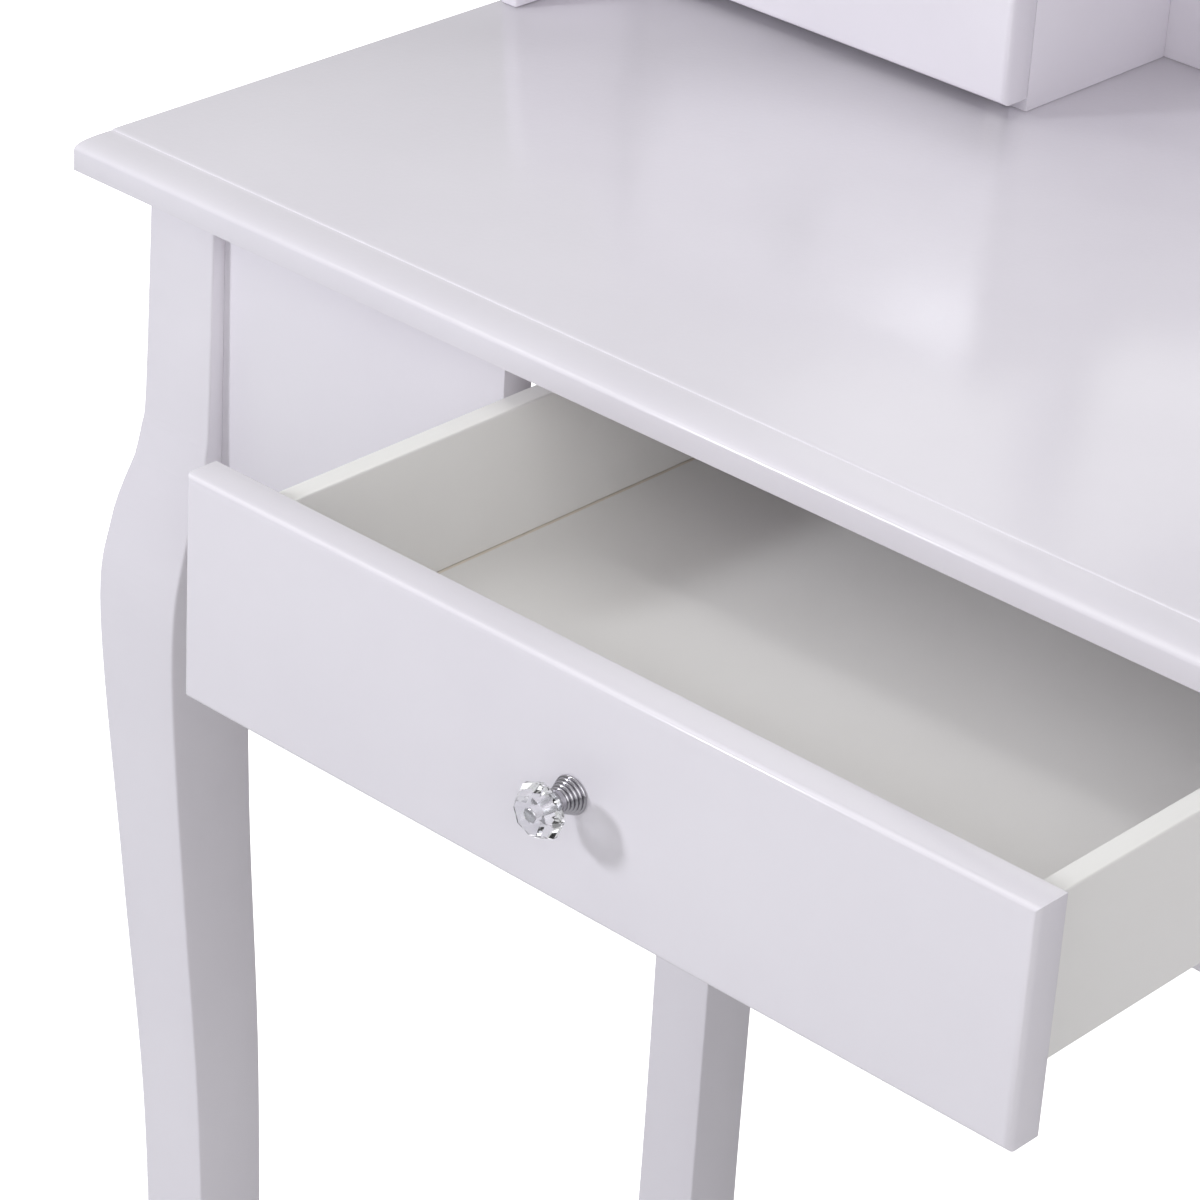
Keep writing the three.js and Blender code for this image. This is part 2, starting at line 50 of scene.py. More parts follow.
# ---- the eye ----
# A long lens to the right of the table and above it, close in on the left half
# of the top and the drawn-out drawer. It leans a little to one side.
top_low, top_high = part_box("table_top")
aim_in_from_end = 315.5 * MM
aim_before_edge = 33.7 * MM
aim_below_top = 60 * MM
eye_azimuth = math.radians(41.29)
eye_elevation = math.radians(28.69)
eye_lean = math.radians(3.57)
eye_distance = 1561 * MM
lens_length = 134.4
film_width = 36.0
farthest_seen = 100.0
eye_aim = Vector((top_low.x + aim_in_from_end, top_low.y - aim_before_edge, top_high.z - aim_below_top))
eye_turn = (
    Matrix.Rotation(eye_azimuth, 4, "Z")
    @ Matrix.Rotation(math.pi / 2 - eye_elevation, 4, "X")
    @ Matrix.Rotation(eye_lean, 4, "Z")
)
eye_place = eye_aim + eye_turn.to_3x3() @ Vector((0, 0, eye_distance))
eye = bpy.data.objects.new("eye", bpy.data.cameras.new("eye"))
eye.data.sensor_width = film_width
eye.data.lens = lens_length
eye.data.clip_end = farthest_seen
eye.matrix_world = Matrix.Translation(eye_place) @ eye_turn
bpy.context.scene.collection.objects.link(eye)
bpy.context.scene.camera = eye

# ---- table top ----
# A 12 mm board, sprayed white. A moulding cutter has run along its front edge only:
# a fine bead, a shallow ledge that rounds over, then a square lip. The ends are sawn square.


def sprayed_paint(name, dark_tint, light_tint, shine):
    """Sprayed paint: a faint cloudiness, a sheen that varies a little, and a trace of orange peel."""
    paint = bpy.data.materials.new(name)
    paint.use_nodes = True
    nodes, links = paint.node_tree.nodes, paint.node_tree.links
    coat = nodes["Principled BSDF"]
    place = nodes.new("ShaderNodeTexCoord")
    cloud = nodes.new("ShaderNodeTexNoise")
    cloud.inputs["Scale"].default_value = 9.0
    cloud.inputs["Detail"].default_value = 4.0
    tone = nodes.new("ShaderNodeValToRGB")
    tone.color_ramp.elements[0].position = 0.35
    tone.color_ramp.elements[0].color = (*dark_tint, 1)
    tone.color_ramp.elements[1].position = 0.65
    tone.color_ramp.elements[1].color = (*light_tint, 1)
    sheen = nodes.new("ShaderNodeMapRange")
    sheen.inputs["To Min"].default_value = shine[0]
    sheen.inputs["To Max"].default_value = shine[1]
    peel = nodes.new("ShaderNodeTexNoise")
    peel.inputs["Scale"].default_value = 420.0
    peel.inputs["Detail"].default_value = 2.0
    relief = nodes.new("ShaderNodeBump")
    relief.inputs["Strength"].default_value = 0.035
    relief.inputs["Distance"].default_value = 0.0006
    links.new(place.outputs["Object"], cloud.inputs["Vector"])
    links.new(place.outputs["Object"], peel.inputs["Vector"])
    links.new(cloud.outputs["Fac"], tone.inputs["Fac"])
    links.new(tone.outputs["Color"], coat.inputs["Base Color"])
    links.new(cloud.outputs["Fac"], sheen.inputs["Value"])
    links.new(sheen.outputs["Result"], coat.inputs["Roughness"])
    links.new(peel.outputs["Fac"], relief.inputs["Height"])
    links.new(relief.outputs["Normal"], coat.inputs["Normal"])
    return paint


def saw(outline, along, start, end):
    """A flat outline sawn from board: it lies across the axis and is drawn out along it."""
    bm = bmesh.new()
    corners = [(start, a, b) if along == "X" else (a, start, b) for a, b in outline]
    blank = bm.faces.new([bm.verts.new(corner) for corner in corners])
    drawn = bmesh.ops.extrude_face_region(bm, geom=[blank])["geom"]
    far_end = [v for v in drawn if isinstance(v, bmesh.types.BMVert)]
    reach = (end - start, 0, 0) if along == "X" else (0, end - start, 0)
    bmesh.ops.translate(bm, verts=far_end, vec=reach)
    bmesh.ops.recalc_face_normals(bm, faces=bm.faces)
    return bm


def ease(bm, width, segments=2, where=lambda edge: True):
    """Takes the sharpness off every hard corner, as sanding and paint do."""
    hard = [e for e in bm.edges if e.calc_face_angle(0) > math.radians(40) and where(e)]
    bmesh.ops.bevel(bm, geom=hard, offset=width, affect="EDGES", segments=segments, profile=0.5,
                    material=-1, clamp_overlap=True)
    return bm


def put_up(bm, name, body, nodes, material, crease=35):
    """Turns a finished shape into a piece, fixes it to its body and lets it stand for its CAD nodes."""
    bmesh.ops.remove_doubles(bm, verts=bm.verts, dist=1e-6)
    bmesh.ops.recalc_face_normals(bm, faces=bm.faces)
    mesh = bpy.data.meshes.new(name)
    bm.to_mesh(mesh)
    bm.free()
    mesh.materials.append(material)
    mesh.shade_smooth()
    mesh.set_sharp_from_angle(angle=math.radians(crease))
    piece = bpy.data.objects.new(name, mesh)
    bpy.context.scene.collection.objects.link(piece)
    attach(piece, body)
    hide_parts(*nodes)
    return piece


def curve(start, pull_a, pull_b, end, steps):
    """A smooth sweep from start to end, as points in a plane."""
    flat = [Vector((*p, 0)) for p in (start, pull_a, pull_b, end)]
    return [(p.x, p.y) for p in interpolate_bezier(*flat, steps)]


lacquer = sprayed_paint("white_lacquer", (0.785, 0.755, 0.812), (0.812, 0.783, 0.838), (0.15, 0.23))

round_run = 20 * MM
bead_width = 3.6 * MM
bead_step = 0.5 * MM
lip_height = 8.2 * MM
end_easing = 0.6 * MM
front_edge = top_low.y
upper = top_high.z
round_top = upper - bead_step
lip_top = top_low.z + lip_height
bead = curve((front_edge + round_run + bead_width, upper),
             (front_edge + round_run + bead_width / 3, upper),
             (front_edge + round_run, upper),
             (front_edge + round_run, round_top), 6)
round_over = curve((front_edge + round_run, round_top),
                   (front_edge + 0.15 * round_run, upper),
                   (front_edge, lip_top + 0.7 * (round_top - lip_top)),
                   (front_edge, lip_top), 20)
moulded_edge = [
    (front_edge, top_low.z),
    (top_high.y, top_low.z),
    (top_high.y, upper),
    *bead,
    *round_over[1:],
]
top_board = saw(moulded_edge, "X", top_low.x, top_high.x)
half_width = top_high.x
ease(top_board, end_easing, where=lambda e: all(abs(v.co.x) > half_width - 1e-6 for v in e.verts))
put_up(top_board, "lacquered_top", "table", ["table_top"], lacquer, crease=30)

# ---- cabriole legs ----
# Four legs bandsawn on two faces from 36 mm square stock: a plain block where the aprons
# join, a cusp, a knee that swells outwards, and a slim calf down to a small foot.

leg_inset_side = 27 * MM
leg_inset_front = 16 * MM
leg_inset_rear = 28 * MM
leg_block = 36 * MM
knee_bulge = 14 * MM
leg_foot = 36 * MM
arris = 1.0 * MM
foot_easing = 1.0 * MM
_, glide_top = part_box("foot_glide_front_left")

# drops are measured down from the upper face of the top
leg_top_drop = upper - top_low.z
cusp_drop = 131 * MM
cusp_to_knee = 75 * MM
knee_drop = cusp_drop + cusp_to_knee
leg_end_drop = upper - glide_top.z


def through(stations, steps):
    """A fair curve through marked stations, each (drop, setback)."""
    ends = [stations[0], *stations, stations[-1]]
    points = []
    for before, a, b, after in zip(ends, ends[1:], ends[2:], ends[3:]):
        pull_a = (a[0] + (b[0] - before[0]) / 6, a[1] + (b[1] - before[1]) / 6)
        pull_b = (b[0] - (after[0] - a[0]) / 6, b[1] - (after[1] - a[1]) / 6)
        points += curve(a, pull_a, pull_b, b, steps)[:-1]
    return [*points, stations[-1]]


flare = cusp_drop - leg_top_drop
calf = leg_end_drop - knee_drop
outer_face = through([
    (leg_top_drop, 0),
    (leg_top_drop + 0.74 * flare, -0.09 * knee_bulge),
    (leg_top_drop + 0.89 * flare, -0.18 * knee_bulge),
    (cusp_drop, -0.31 * knee_bulge),
], 6) + through([
    (cusp_drop, -0.31 * knee_bulge),
    (cusp_drop + 0.4 * cusp_to_knee, -0.79 * knee_bulge),
    (knee_drop, -knee_bulge),
    (knee_drop + 0.23 * calf, -0.5 * knee_bulge),
    (knee_drop + 0.46 * calf, 0),
    (knee_drop + 0.75 * calf, 0.17 * knee_bulge),
    (leg_end_drop, 0),
], 9)[1:]
inner_face = [(leg_top_drop, leg_block)] + through([
    (cusp_drop, leg_block),
    (knee_drop, leg_block - 0.42 * knee_bulge),
    (knee_drop + 0.16 * calf, leg_block - 0.38 * knee_bulge),
    (knee_drop + 0.4 * calf, leg_block - 0.07 * knee_bulge),
    (knee_drop + 0.7 * calf, leg_block + 0.07 * knee_bulge),
    (leg_end_drop, leg_foot),
], 9)
inner_drops = [drop for drop, _ in inner_face]
inner_setbacks = [setback for _, setback in inner_face]

for where, side, inward in (("front_left", -1, 1), ("front_right", 1, 1),
                            ("rear_left", -1, -1), ("rear_right", 1, -1)):
    corner_x = side * (half_width - leg_inset_side)
    corner_y = top_low.y + leg_inset_front if inward > 0 else top_high.y - leg_inset_rear
    leg = bmesh.new()
    bmesh.ops.create_grid(leg, x_segments=1, y_segments=1, size=leg_block / 2)
    bmesh.ops.bevel(leg, geom=leg.verts[:], offset=arris, affect="VERTICES", segments=3, profile=0.5,
                    material=-1)
    section = leg.faces[:]
    bmesh.ops.translate(leg, verts=leg.verts, vec=(leg_block / 2, leg_block / 2, -leg_top_drop))
    middle, width = leg_block / 2, leg_block
    for drop, outer in outer_face[1:]:
        inner = float(np.interp(drop, inner_drops, inner_setbacks))
        grown = bmesh.ops.extrude_face_region(leg, geom=section)["geom"]
        ring = [v for v in grown if isinstance(v, bmesh.types.BMVert)]
        section = [f for f in grown if isinstance(f, bmesh.types.BMFace)]
        level = ring[0].co.z
        next_middle, next_width = (outer + inner) / 2, inner - outer
        centre = Matrix.Translation((-middle, -middle, -level))
        grow = next_width / width
        bmesh.ops.scale(leg, verts=ring, vec=(grow, grow, 1), space=centre)
        shift = next_middle - middle
        bmesh.ops.translate(leg, verts=ring, vec=(shift, shift, -drop - level))
        if abs(drop - cusp_drop) < 1e-6:
            for edge in leg.edges:
                if all(v in ring for v in edge.verts):
                    edge.smooth = False
        middle, width = next_middle, next_width
    ease(leg, foot_easing, where=lambda e: all(v.co.z < -leg_end_drop + 1e-5 for v in e.verts))
    stand = Matrix.Translation((corner_x, corner_y, upper)) @ Matrix.Diagonal((-side, inward, 1, 1))
    bmesh.ops.transform(leg, verts=leg.verts, matrix=stand)
    put_up(leg, f"cabriole_leg_{where}", "table", [f"leg_{where}"], lacquer, crease=40)

# ---- foot glides ----
# Small dark nylon pads, moulded with rounded corners and pinned under the feet, so that
# the table slides without marking the floor.

nylon = bpy.data.materials.new("glide_nylon")
nylon.use_nodes = True
nylon_nodes, nylon_links = nylon.node_tree.nodes, nylon.node_tree.links
nylon_place = nylon_nodes.new("ShaderNodeTexCoord")
nylon_grain = nylon_nodes.new("ShaderNodeTexNoise")
nylon_grain.inputs["Scale"].default_value = 800.0
nylon_tone = nylon_nodes.new("ShaderNodeValToRGB")
nylon_tone.color_ramp.elements[0].color = (0.13, 0.13, 0.14, 1)
nylon_tone.color_ramp.elements[1].color = (0.19, 0.19, 0.20, 1)
nylon_nodes["Principled BSDF"].inputs["Roughness"].default_value = 0.6
nylon_links.new(nylon_place.outputs["Object"], nylon_grain.inputs["Vector"])
nylon_links.new(nylon_grain.outputs["Fac"], nylon_tone.inputs["Fac"])
nylon_links.new(nylon_tone.outputs["Color"], nylon_nodes["Principled BSDF"].inputs["Base Color"])


def plank(low, high):
    """A plain rectangular board between two corners."""
    bm = bmesh.new()
    place = Matrix.Translation((low + high) / 2) @ Matrix.Diagonal((*(high - low), 1))
    bmesh.ops.create_cube(bm, size=1.0, matrix=place)
    return bm


glide_easing = 1.0 * MM
for where in ("front_left", "front_right", "rear_left", "rear_right"):
    glide = ease(plank(*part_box(f"foot_glide_{where}")), glide_easing, 3)
    put_up(glide, f"nylon_glide_{where}", "table", [f"foot_glide_{where}"], nylon)

# ---- aprons and drawer rail ----
# 15 mm boards dowelled between the legs and set back behind their faces. The front has
# a panel on each side of the drawer opening and a rail under it.

board_easing = 0.5 * MM
for name in ("apron_front_left", "apron_front_right", "apron_side_left", "apron_side_right",
             "apron_back", "drawer_rail"):
    put_up(ease(plank(*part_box(name)), board_easing), f"lacquered_{name}", "table", [name],
           lacquer)

# ---- drawer runners ----
# L-shaped strips of bare board behind the aprons. The ledge carries the drawer's side and
# the upright steers it.


def bare_board(name, dark_tint=(0.33, 0.235, 0.145), light_tint=(0.56, 0.43, 0.29)):
    """Unpainted fibre board: fine fibres, pressed flat, a little darker in places."""
    board = bpy.data.materials.new(name)
    board.use_nodes = True
    nodes, links = board.node_tree.nodes, board.node_tree.links
    place = nodes.new("ShaderNodeTexCoord")
    stretch = nodes.new("ShaderNodeMapping")
    stretch.inputs["Scale"].default_value = (260.0, 60.0, 260.0)
    fibres = nodes.new("ShaderNodeTexNoise")
    fibres.inputs["Scale"].default_value = 1.0
    fibres.inputs["Detail"].default_value = 6.0
    tone = nodes.new("ShaderNodeValToRGB")
    tone.color_ramp.elements[0].color = (*dark_tint, 1)
    tone.color_ramp.elements[1].color = (*light_tint, 1)
    relief = nodes.new("ShaderNodeBump")
    relief.inputs["Strength"].default_value = 0.2
    relief.inputs["Distance"].default_value = 0.0004
    nodes["Principled BSDF"].inputs["Roughness"].default_value = 0.82
    links.new(place.outputs["Object"], stretch.inputs["Vector"])
    links.new(stretch.outputs["Vector"], fibres.inputs["Vector"])
    links.new(fibres.outputs["Fac"], tone.inputs["Fac"])
    links.new(tone.outputs["Color"], nodes["Principled BSDF"].inputs["Base Color"])
    links.new(fibres.outputs["Fac"], relief.inputs["Height"])
    links.new(relief.outputs["Normal"], nodes["Principled BSDF"].inputs["Normal"])
    return board


fibre_board = bare_board("bare_fibre_board")
ledge_width = 18 * MM
ledge_thick = 12 * MM
runner_easing = 0.6 * MM
for hand, side in (("left", -1), ("right", 1)):
    low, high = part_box(f"drawer_runner_{hand}")
    outside = high.x if side > 0 else low.x
    inside = low.x if side > 0 else high.x
    upright = inside + side * ledge_width
    strip = [(inside, low.z), (outside, low.z), (outside, high.z), (upright, high.z),
             (upright, low.z + ledge_thick), (inside, low.z + ledge_thick)]
    put_up(ease(saw(strip, "Y", low.y, high.y), runner_easing), f"runner_strip_{hand}", "table",
           [f"drawer_runner_{hand}"], fibre_board)

# ---- drawers ----
# Each has a 15 mm front rounded all round its face, two 9 mm sides grooved for a thin base,
# and a 9 mm back. The fronts are lacquered like the table; the boxes have one coat of a
# flatter, slightly warmer paint.

drawer_paint = sprayed_paint("drawer_box_paint", (0.835, 0.822, 0.800), (0.865, 0.855, 0.835), (0.34, 0.48))
bare_edge = bare_board("bare_base_edge", (0.76, 0.69, 0.59), (0.88, 0.82, 0.73))
face_round = 3 * MM
front_back_easing = 0.4 * MM
wall_top_round = 1.2 * MM
back_easing = 0.8 * MM
base_easing = 0.3 * MM
groove_depth = 4 * MM
wall = 9 * MM
bare_line = 0.9 * MM


def drawer(box, groove_lift):
    """Front, sides, back and base of one drawer, from the room its CAD pieces take."""
    low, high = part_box(f"{box}_front")
    front = plank(low, high)
    ease(front, face_round, 6, where=lambda e: all(v.co.y < low.y + 1e-6 for v in e.verts))
    ease(front, front_back_easing, 2, where=lambda e: all(v.co.y > high.y - 1e-6 for v in e.verts))
    put_up(front, f"{box}_lacquered_front", box, [f"{box}_front"], lacquer, crease=50)

    base_low, base_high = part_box(f"{box}_base")
    for hand, inward in (("left", 1), ("right", -1)):
        low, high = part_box(f"{box}_side_{hand}")
        outer = low.x if inward > 0 else high.x
        inner = outer + inward * wall
        cut = inner - inward * groove_depth
        groove_floor = low.z + groove_lift
        groove_roof = base_high.z + (base_low.z - groove_floor)
        side = [(outer, low.z), (inner, low.z), (inner, groove_floor), (cut, groove_floor),
                (cut, groove_roof), (inner, groove_roof), (inner, high.z), (outer, high.z)]
        panel = saw(side, "Y", low.y, high.y)
        ease(panel, wall_top_round, 3, where=lambda e: all(v.co.z > high.z - 1e-6 for v in e.verts))
        put_up(panel, f"{box}_painted_side_{hand}", box, [f"{box}_side_{hand}"],
               drawer_paint)
    back = ease(plank(*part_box(f"{box}_back")), back_easing)
    put_up(back, f"{box}_painted_back", box, [f"{box}_back"], drawer_paint)
    # the base is painted before it slides in, so a thin line of bare board shows beside each wall
    base = ease(plank(base_low, base_high), base_easing)
    middle = (base_low.x + base_high.x) / 2
    painted = (base_high.x - base_low.x) / 2 - groove_depth - bare_line
    for inward in (1, -1):
        bmesh.ops.bisect_plane(base, geom=[*base.verts, *base.edges, *base.faces],
                               plane_co=(middle + inward * painted, 0, 0), plane_no=(1, 0, 0))
    for face in base.faces:
        face.material_index = int(abs(face.calc_center_median().x - middle) > painted)
    board = put_up(base, f"{box}_painted_base", box, [f"{box}_base"], drawer_paint)
    board.data.materials.append(bare_edge)


wide_groove_lift = 4.5 * MM
small_groove_lift = 3 * MM
drawer("centre_drawer", wide_groove_lift)
drawer("left_drawer", small_groove_lift)
drawer("right_drawer", small_groove_lift)

# ---- crystal knobs ----
# Clear cut acrylic with eight sides, held by a screw that runs through it into a chrome
# foot turned in steps. One on each drawer.


def polished_metal(name, colour, rough):
    """Bright plating with faint turning marks."""
    metal = bpy.data.materials.new(name)
    metal.use_nodes = True
    nodes, links = metal.node_tree.nodes, metal.node_tree.links
    shader = nodes["Principled BSDF"]
    shader.inputs["Metallic"].default_value = 1.0
    place = nodes.new("ShaderNodeTexCoord")
    haze = nodes.new("ShaderNodeTexNoise")
    haze.inputs["Scale"].default_value = 700.0
    tone = nodes.new("ShaderNodeValToRGB")
    tone.color_ramp.elements[0].color = (*[0.9 * c for c in colour], 1)
    tone.color_ramp.elements[1].color = (*colour, 1)
    dull = nodes.new("ShaderNodeMapRange")
    dull.inputs["To Min"].default_value = 0.6 * rough
    dull.inputs["To Max"].default_value = 1.5 * rough
    links.new(place.outputs["Object"], haze.inputs["Vector"])
    links.new(haze.outputs["Fac"], tone.inputs["Fac"])
    links.new(tone.outputs["Color"], shader.inputs["Base Color"])
    links.new(haze.outputs["Fac"], dull.inputs["Value"])
    links.new(dull.outputs["Result"], shader.inputs["Roughness"])
    return metal


def cut_crystal(name):
    """Clear, hard and bright, with the slightest haze."""
    clear = bpy.data.materials.new(name)
    clear.use_nodes = True
    nodes, links = clear.node_tree.nodes, clear.node_tree.links
    shader = nodes["Principled BSDF"]
    shader.inputs["Transmission Weight"].default_value = 1.0
    shader.inputs["IOR"].default_value = 1.49
    place = nodes.new("ShaderNodeTexCoord")
    haze = nodes.new("ShaderNodeTexNoise")
    haze.inputs["Scale"].default_value = 250.0
    dull = nodes.new("ShaderNodeMapRange")
    dull.inputs["To Min"].default_value = 0.0
    dull.inputs["To Max"].default_value = 0.03
    tone = nodes.new("ShaderNodeValToRGB")
    tone.color_ramp.elements[0].color = (0.95, 0.96, 0.98, 1)
    tone.color_ramp.elements[1].color = (0.99, 0.99, 1.0, 1)
    links.new(place.outputs["Object"], haze.inputs["Vector"])
    links.new(haze.outputs["Fac"], dull.inputs["Value"])
    links.new(dull.outputs["Result"], shader.inputs["Roughness"])
    links.new(haze.outputs["Fac"], tone.inputs["Fac"])
    links.new(tone.outputs["Color"], shader.inputs["Base Color"])
    return clear


# the chrome's colour is darkened as a painted reflection: it stands in for the dark surroundings that the
# real plating mirrors
chrome_painted_dark_reflection = polished_metal("chrome_plate_painted_dark_reflection", (0.46, 0.45, 0.48), 0.05)
screw_steel = polished_metal("screw_steel", (0.62, 0.62, 0.66), 0.26)
crystal = cut_crystal("cut_crystal")
crystal_half = 10.25 * MM
crystal_deep = 11 * MM
foot_half = 7 * MM
foot_deep = 9 * MM
foot_steps = 5
seat_gap = 0.05 * MM
screw_half = 2.5 * MM
screw_room = 0.3 * MM
thread_pitch = 0.7 * MM
thread_turns = 11
thread_depth = 0.35 * MM


def turned(profile, seat, steps):
    """A profile of (radius, height out from the seat) turned about an axis that points to the front."""
    bm = bmesh.new()
    line = [bm.verts.new(seat + Vector((r, -out, 0))) for r, out in profile]
    edges = [bm.edges.new(pair) for pair in zip(line, line[1:])]
    bmesh.ops.spin(bm, geom=[*line, *edges], cent=seat, axis=FRONTWARD, angle=2 * math.pi,
                   steps=steps, use_merge=True)
    bmesh.ops.remove_doubles(bm, verts=bm.verts, dist=1e-6)
    return bm


for knob in ("centre", "left", "right"):
    body = f"{knob}_drawer"
    foot_low, foot_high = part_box(f"{knob}_knob_foot")
    seat = Vector(((foot_low.x + foot_high.x) / 2, foot_high.y, (foot_low.z + foot_high.z) / 2))

    # rounded steps that narrow towards the crystal, then a collar
    steps = [(0, 0)]
    for count in range(foot_steps):
        radius, middle = 1 - 0.085 * count, 0.08 + 0.145 * count
        for turn in np.linspace(-math.pi / 2, math.pi / 2, 7):
            steps.append((foot_half * (radius - 0.09 + 0.09 * math.cos(turn)),
                          foot_deep * (middle + 0.065 * math.sin(turn))))
    steps += [(0.56 * foot_half, 0.76 * foot_deep), (0.56 * foot_half, 0.82 * foot_deep),
              (0.66 * foot_half, 0.88 * foot_deep), (0.66 * foot_half, 0.97 * foot_deep),
              (0.62 * foot_half, foot_deep), (0, foot_deep)]
    put_up(turned(steps, seat, 48), f"{knob}_stepped_foot", body, [f"{knob}_knob_foot"],
           chrome_painted_dark_reflection, crease=45)

    # the cut crystal, bored through for the screw
    back_end = foot_deep + seat_gap
    bore = screw_half + screw_room
    cut = [(bore, 0), (0.46 * crystal_half, 0), (0.60 * crystal_half, 0.10 * crystal_deep),
           (crystal_half, 0.46 * crystal_deep), (crystal_half, 0.60 * crystal_deep),
           (0.70 * crystal_half, 0.965 * crystal_deep), (bore, 0.965 * crystal_deep), (bore, 0)]
    gem = turned([(r, back_end + h) for r, h in cut], seat, 8)
    put_up(gem, f"{knob}_cut_crystal", body, [f"{knob}_knob_crystal"], crystal, crease=1)

    # the screw, with its thread up to a plain head
    thread = [(0, 0)]
    root_half = screw_half - thread_depth
    for count in range(thread_turns):
        thread.append((root_half, count * thread_pitch))
        thread.append((screw_half, (count + 0.5) * thread_pitch))
    head_start = thread_turns * thread_pitch
    thread += [(root_half, head_start), (screw_half, head_start + 0.2 * MM),
               (screw_half, crystal_deep - 0.4 * MM), (screw_half - 0.3 * MM, crystal_deep - 0.1 * MM),
               (0, crystal_deep - 0.1 * MM)]
    put_up(turned([(r, back_end + h) for r, h in thread], seat, 32), f"{knob}_through_screw", body,
           [f"{knob}_knob_screw"], screw_steel, crease=50)

# ---- hutch ----
# Thin boards that stand on the top along its back: a scrolled wing at each end, an inner
# side, a cap over each small drawer, and one back board.

cap_round = 3 * MM
for name in ("hutch_back", "hutch_inner_side_left", "hutch_inner_side_right"):
    put_up(ease(plank(*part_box(name)), board_easing), f"lacquered_{name}", "table", [name],
           lacquer)
for hand in ("left", "right"):
    low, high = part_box(f"hutch_cap_{hand}")
    cap = plank(low, high)
    ease(cap, cap_round, 5, where=lambda e: all(v.co.z > high.z - 1e-6 for v in e.verts)
         and not all(v.co.y > high.y - 1e-6 for v in e.verts))
    put_up(cap, f"lacquered_hutch_cap_{hand}", "table", [f"hutch_cap_{hand}"], lacquer)

wing_reach = 64 * MM
wing_toe = 14 * MM
wing_easing = 1.0 * MM
for hand in ("left", "right"):
    low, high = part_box(f"hutch_wing_{hand}")
    toe_y, toe_z = low.y, low.z + wing_toe
    face_y = toe_y + wing_reach
    rise = high.z - toe_z
    scroll = curve((face_y, high.z), (face_y - 0.1 * wing_reach, toe_z + 0.55 * rise),
                   (face_y - 0.35 * wing_reach, toe_z + 0.3 * rise),
                   (face_y - 0.6 * wing_reach, toe_z + 0.32 * rise), 14)
    scroll += curve(scroll[-1], (toe_y + 0.15 * wing_reach, toe_z + 0.34 * rise),
                    (toe_y, toe_z + 0.15 * rise), (toe_y, toe_z), 14)[1:]
    wing = saw([(toe_y, low.z), (high.y, low.z), (high.y, high.z), *scroll], "X", low.x, high.x)
    ease(wing, wing_easing, 3)
    put_up(wing, f"scrolled_wing_{hand}", "table", [f"hutch_wing_{hand}"], lacquer)

# ---- mirror posts ----
# Two flat posts bandsawn from lacquered board, with waisted flanks and round heads. Each
# stands on a cap, screwed down through it, and is bored for a pivot.

post_deep = 34 * MM
post_head = 24 * MM
post_easing = 1.2 * MM
pivot_room = 4.3 * MM
for hand in ("left", "right"):
    low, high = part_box(f"mirror_post_{hand}")
    mid_y = (low.y + high.y) / 2
    axis_z = high.z - post_head / 2
    post = bmesh.new()
    front_flank = curve((mid_y - post_head / 2, axis_z), (mid_y - post_head / 2, low.z + 3 * post_deep),
                        (mid_y - post_head / 2, low.z + 1.8 * post_deep),
                        (mid_y - post_deep / 2, low.z + post_deep), 12)
    head = [(mid_y + post_head / 2 * math.cos(a), axis_z + post_head / 2 * math.sin(a))
            for a in np.linspace(0, math.pi, 25)]
    rear_flank = [(2 * mid_y - y, z) for y, z in reversed(front_flank)]
    edge_line = [(mid_y - post_deep / 2, low.z), (mid_y + post_deep / 2, low.z),
                 *rear_flank, *head[1:-1], *front_flank]
    bore_line = [(mid_y + pivot_room * math.cos(a), axis_z + pivot_room * math.sin(a))
                 for a in np.linspace(0, 2 * math.pi, 24, endpoint=False)]
    sides = []
    for line in (edge_line, bore_line):
        marks = [post.verts.new((low.x, y, z)) for y, z in line]
        sides += [post.edges.new(pair) for pair in zip(marks, marks[1:] + marks[:1])]
    bmesh.ops.triangle_fill(post, edges=sides, use_beauty=True)
    drawn = bmesh.ops.extrude_face_region(post, geom=post.faces[:])["geom"]
    bmesh.ops.translate(post, verts=[v for v in drawn if isinstance(v, bmesh.types.BMVert)],
                        vec=(high.x - low.x, 0, 0))
    bmesh.ops.recalc_face_normals(post, faces=post.faces)
    ease(post, post_easing, 3, where=lambda e: math.hypot(
        e.verts[0].co.y - mid_y, e.verts[0].co.z - axis_z) > 2 * pivot_room)
    put_up(post, f"shaped_post_{hand}", "table", [f"mirror_post_{hand}"], lacquer)

# ---- mirror pivots ----
# A chromed bolt each side, screwed into the frame's edge through the post, with a turned
# grip that pinches the post and holds the mirror at its tilt.

pin_half = 4 * MM
grip_half = 12 * MM
grip_long = 14 * MM
for hand, side in (("left", -1), ("right", 1)):
    low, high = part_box(f"mirror_pivot_{hand}")
    length = high.x - low.x
    grip_start = length - grip_long
    profile = [(0, 0), (pin_half, 0), (pin_half, grip_start), (0.62 * grip_half, grip_start),
               (0.80 * grip_half, grip_start + 0.06 * grip_long)]
    for turn in np.linspace(-math.pi / 2, math.pi / 2, 11):
        profile.append((grip_half * (0.80 + 0.20 * math.cos(turn)),
                        grip_start + grip_long * (0.45 + 0.33 * math.sin(turn))))
    profile += [(0.72 * grip_half, grip_start + 0.84 * grip_long), (0.66 * grip_half, length - 0.6 * MM),
                (0.60 * grip_half, length), (0, length)]
    bolt = turned(profile, Vector((0, 0, 0)), 48)
    root_x = low.x if side > 0 else high.x
    at = Vector((root_x, (low.y + high.y) / 2, (low.z + high.z) / 2))
    screwed_in = Matrix.Translation(at) @ Matrix.Rotation(side * math.pi / 2, 4, "Z")
    bmesh.ops.transform(bolt, verts=bolt.verts, matrix=screwed_in)
    put_up(bolt, f"pivot_bolt_{hand}", "mirror", [f"mirror_pivot_{hand}"], chrome_painted_dark_reflection, crease=40)

# ---- oval mirror ----
# A moulded oval frame with a rebate behind, silvered glass with a bevelled rim, and a thin
# backing board pinned in after it.

